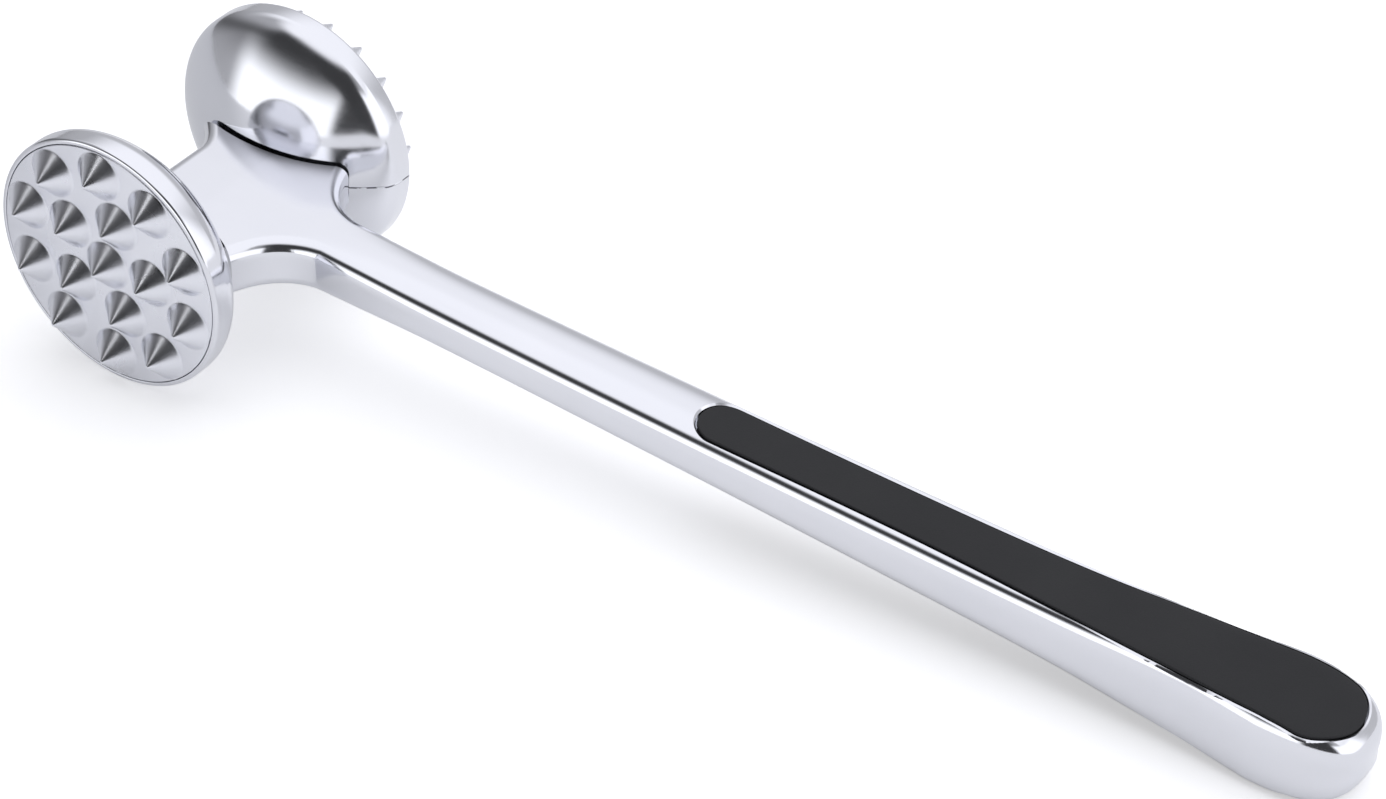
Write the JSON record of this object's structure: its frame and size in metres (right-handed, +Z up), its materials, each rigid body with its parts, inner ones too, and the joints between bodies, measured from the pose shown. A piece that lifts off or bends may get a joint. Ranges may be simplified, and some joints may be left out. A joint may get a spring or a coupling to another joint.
{
  "type": "meat mallet",
  "caption": "Double-headed meat mallet: coarse and fine spiked round faces on bell-backed heads, slim metal handle with soft inlays set into both sides of the grip.",
  "frame": {"origin": "middle of the bottom of the object's box, on the table it lies on", "axes": "+Z up from the table, handle along -Y, striking faces to -X (coarse) and +X (fine)"},
  "size_m": [0.0636, 0.2632, 0.0498],
  "materials": {
    "chrome_casting": "mirror chrome plate on a smooth casting",
    "spiked_face": "plated, a little duller than the bells, with turned flanks on the spikes",
    "plain_steel": "plain steel",
    "soft_inlay": "matte charcoal, fine moulded grain",
    "hard_carrier": "black moulded plastic"
  },
  "bodies": {
    "root": {"handle_casting": "chrome_casting", "coarse_head_bell": "chrome_casting", "fine_head_bell": "chrome_casting", "coarse_face_plate": "spiked_face", "fine_face_plate": "spiked_face", "head_tie_stud": "plain_steel", "coarse_head_dowel": "plain_steel", "fine_head_dowel": "plain_steel", "upper_grip_carrier": "hard_carrier", "upper_grip_skin": "soft_inlay", "lower_grip_carrier": "hard_carrier", "lower_grip_skin": "soft_inlay"}
  },
  "joints": []
}
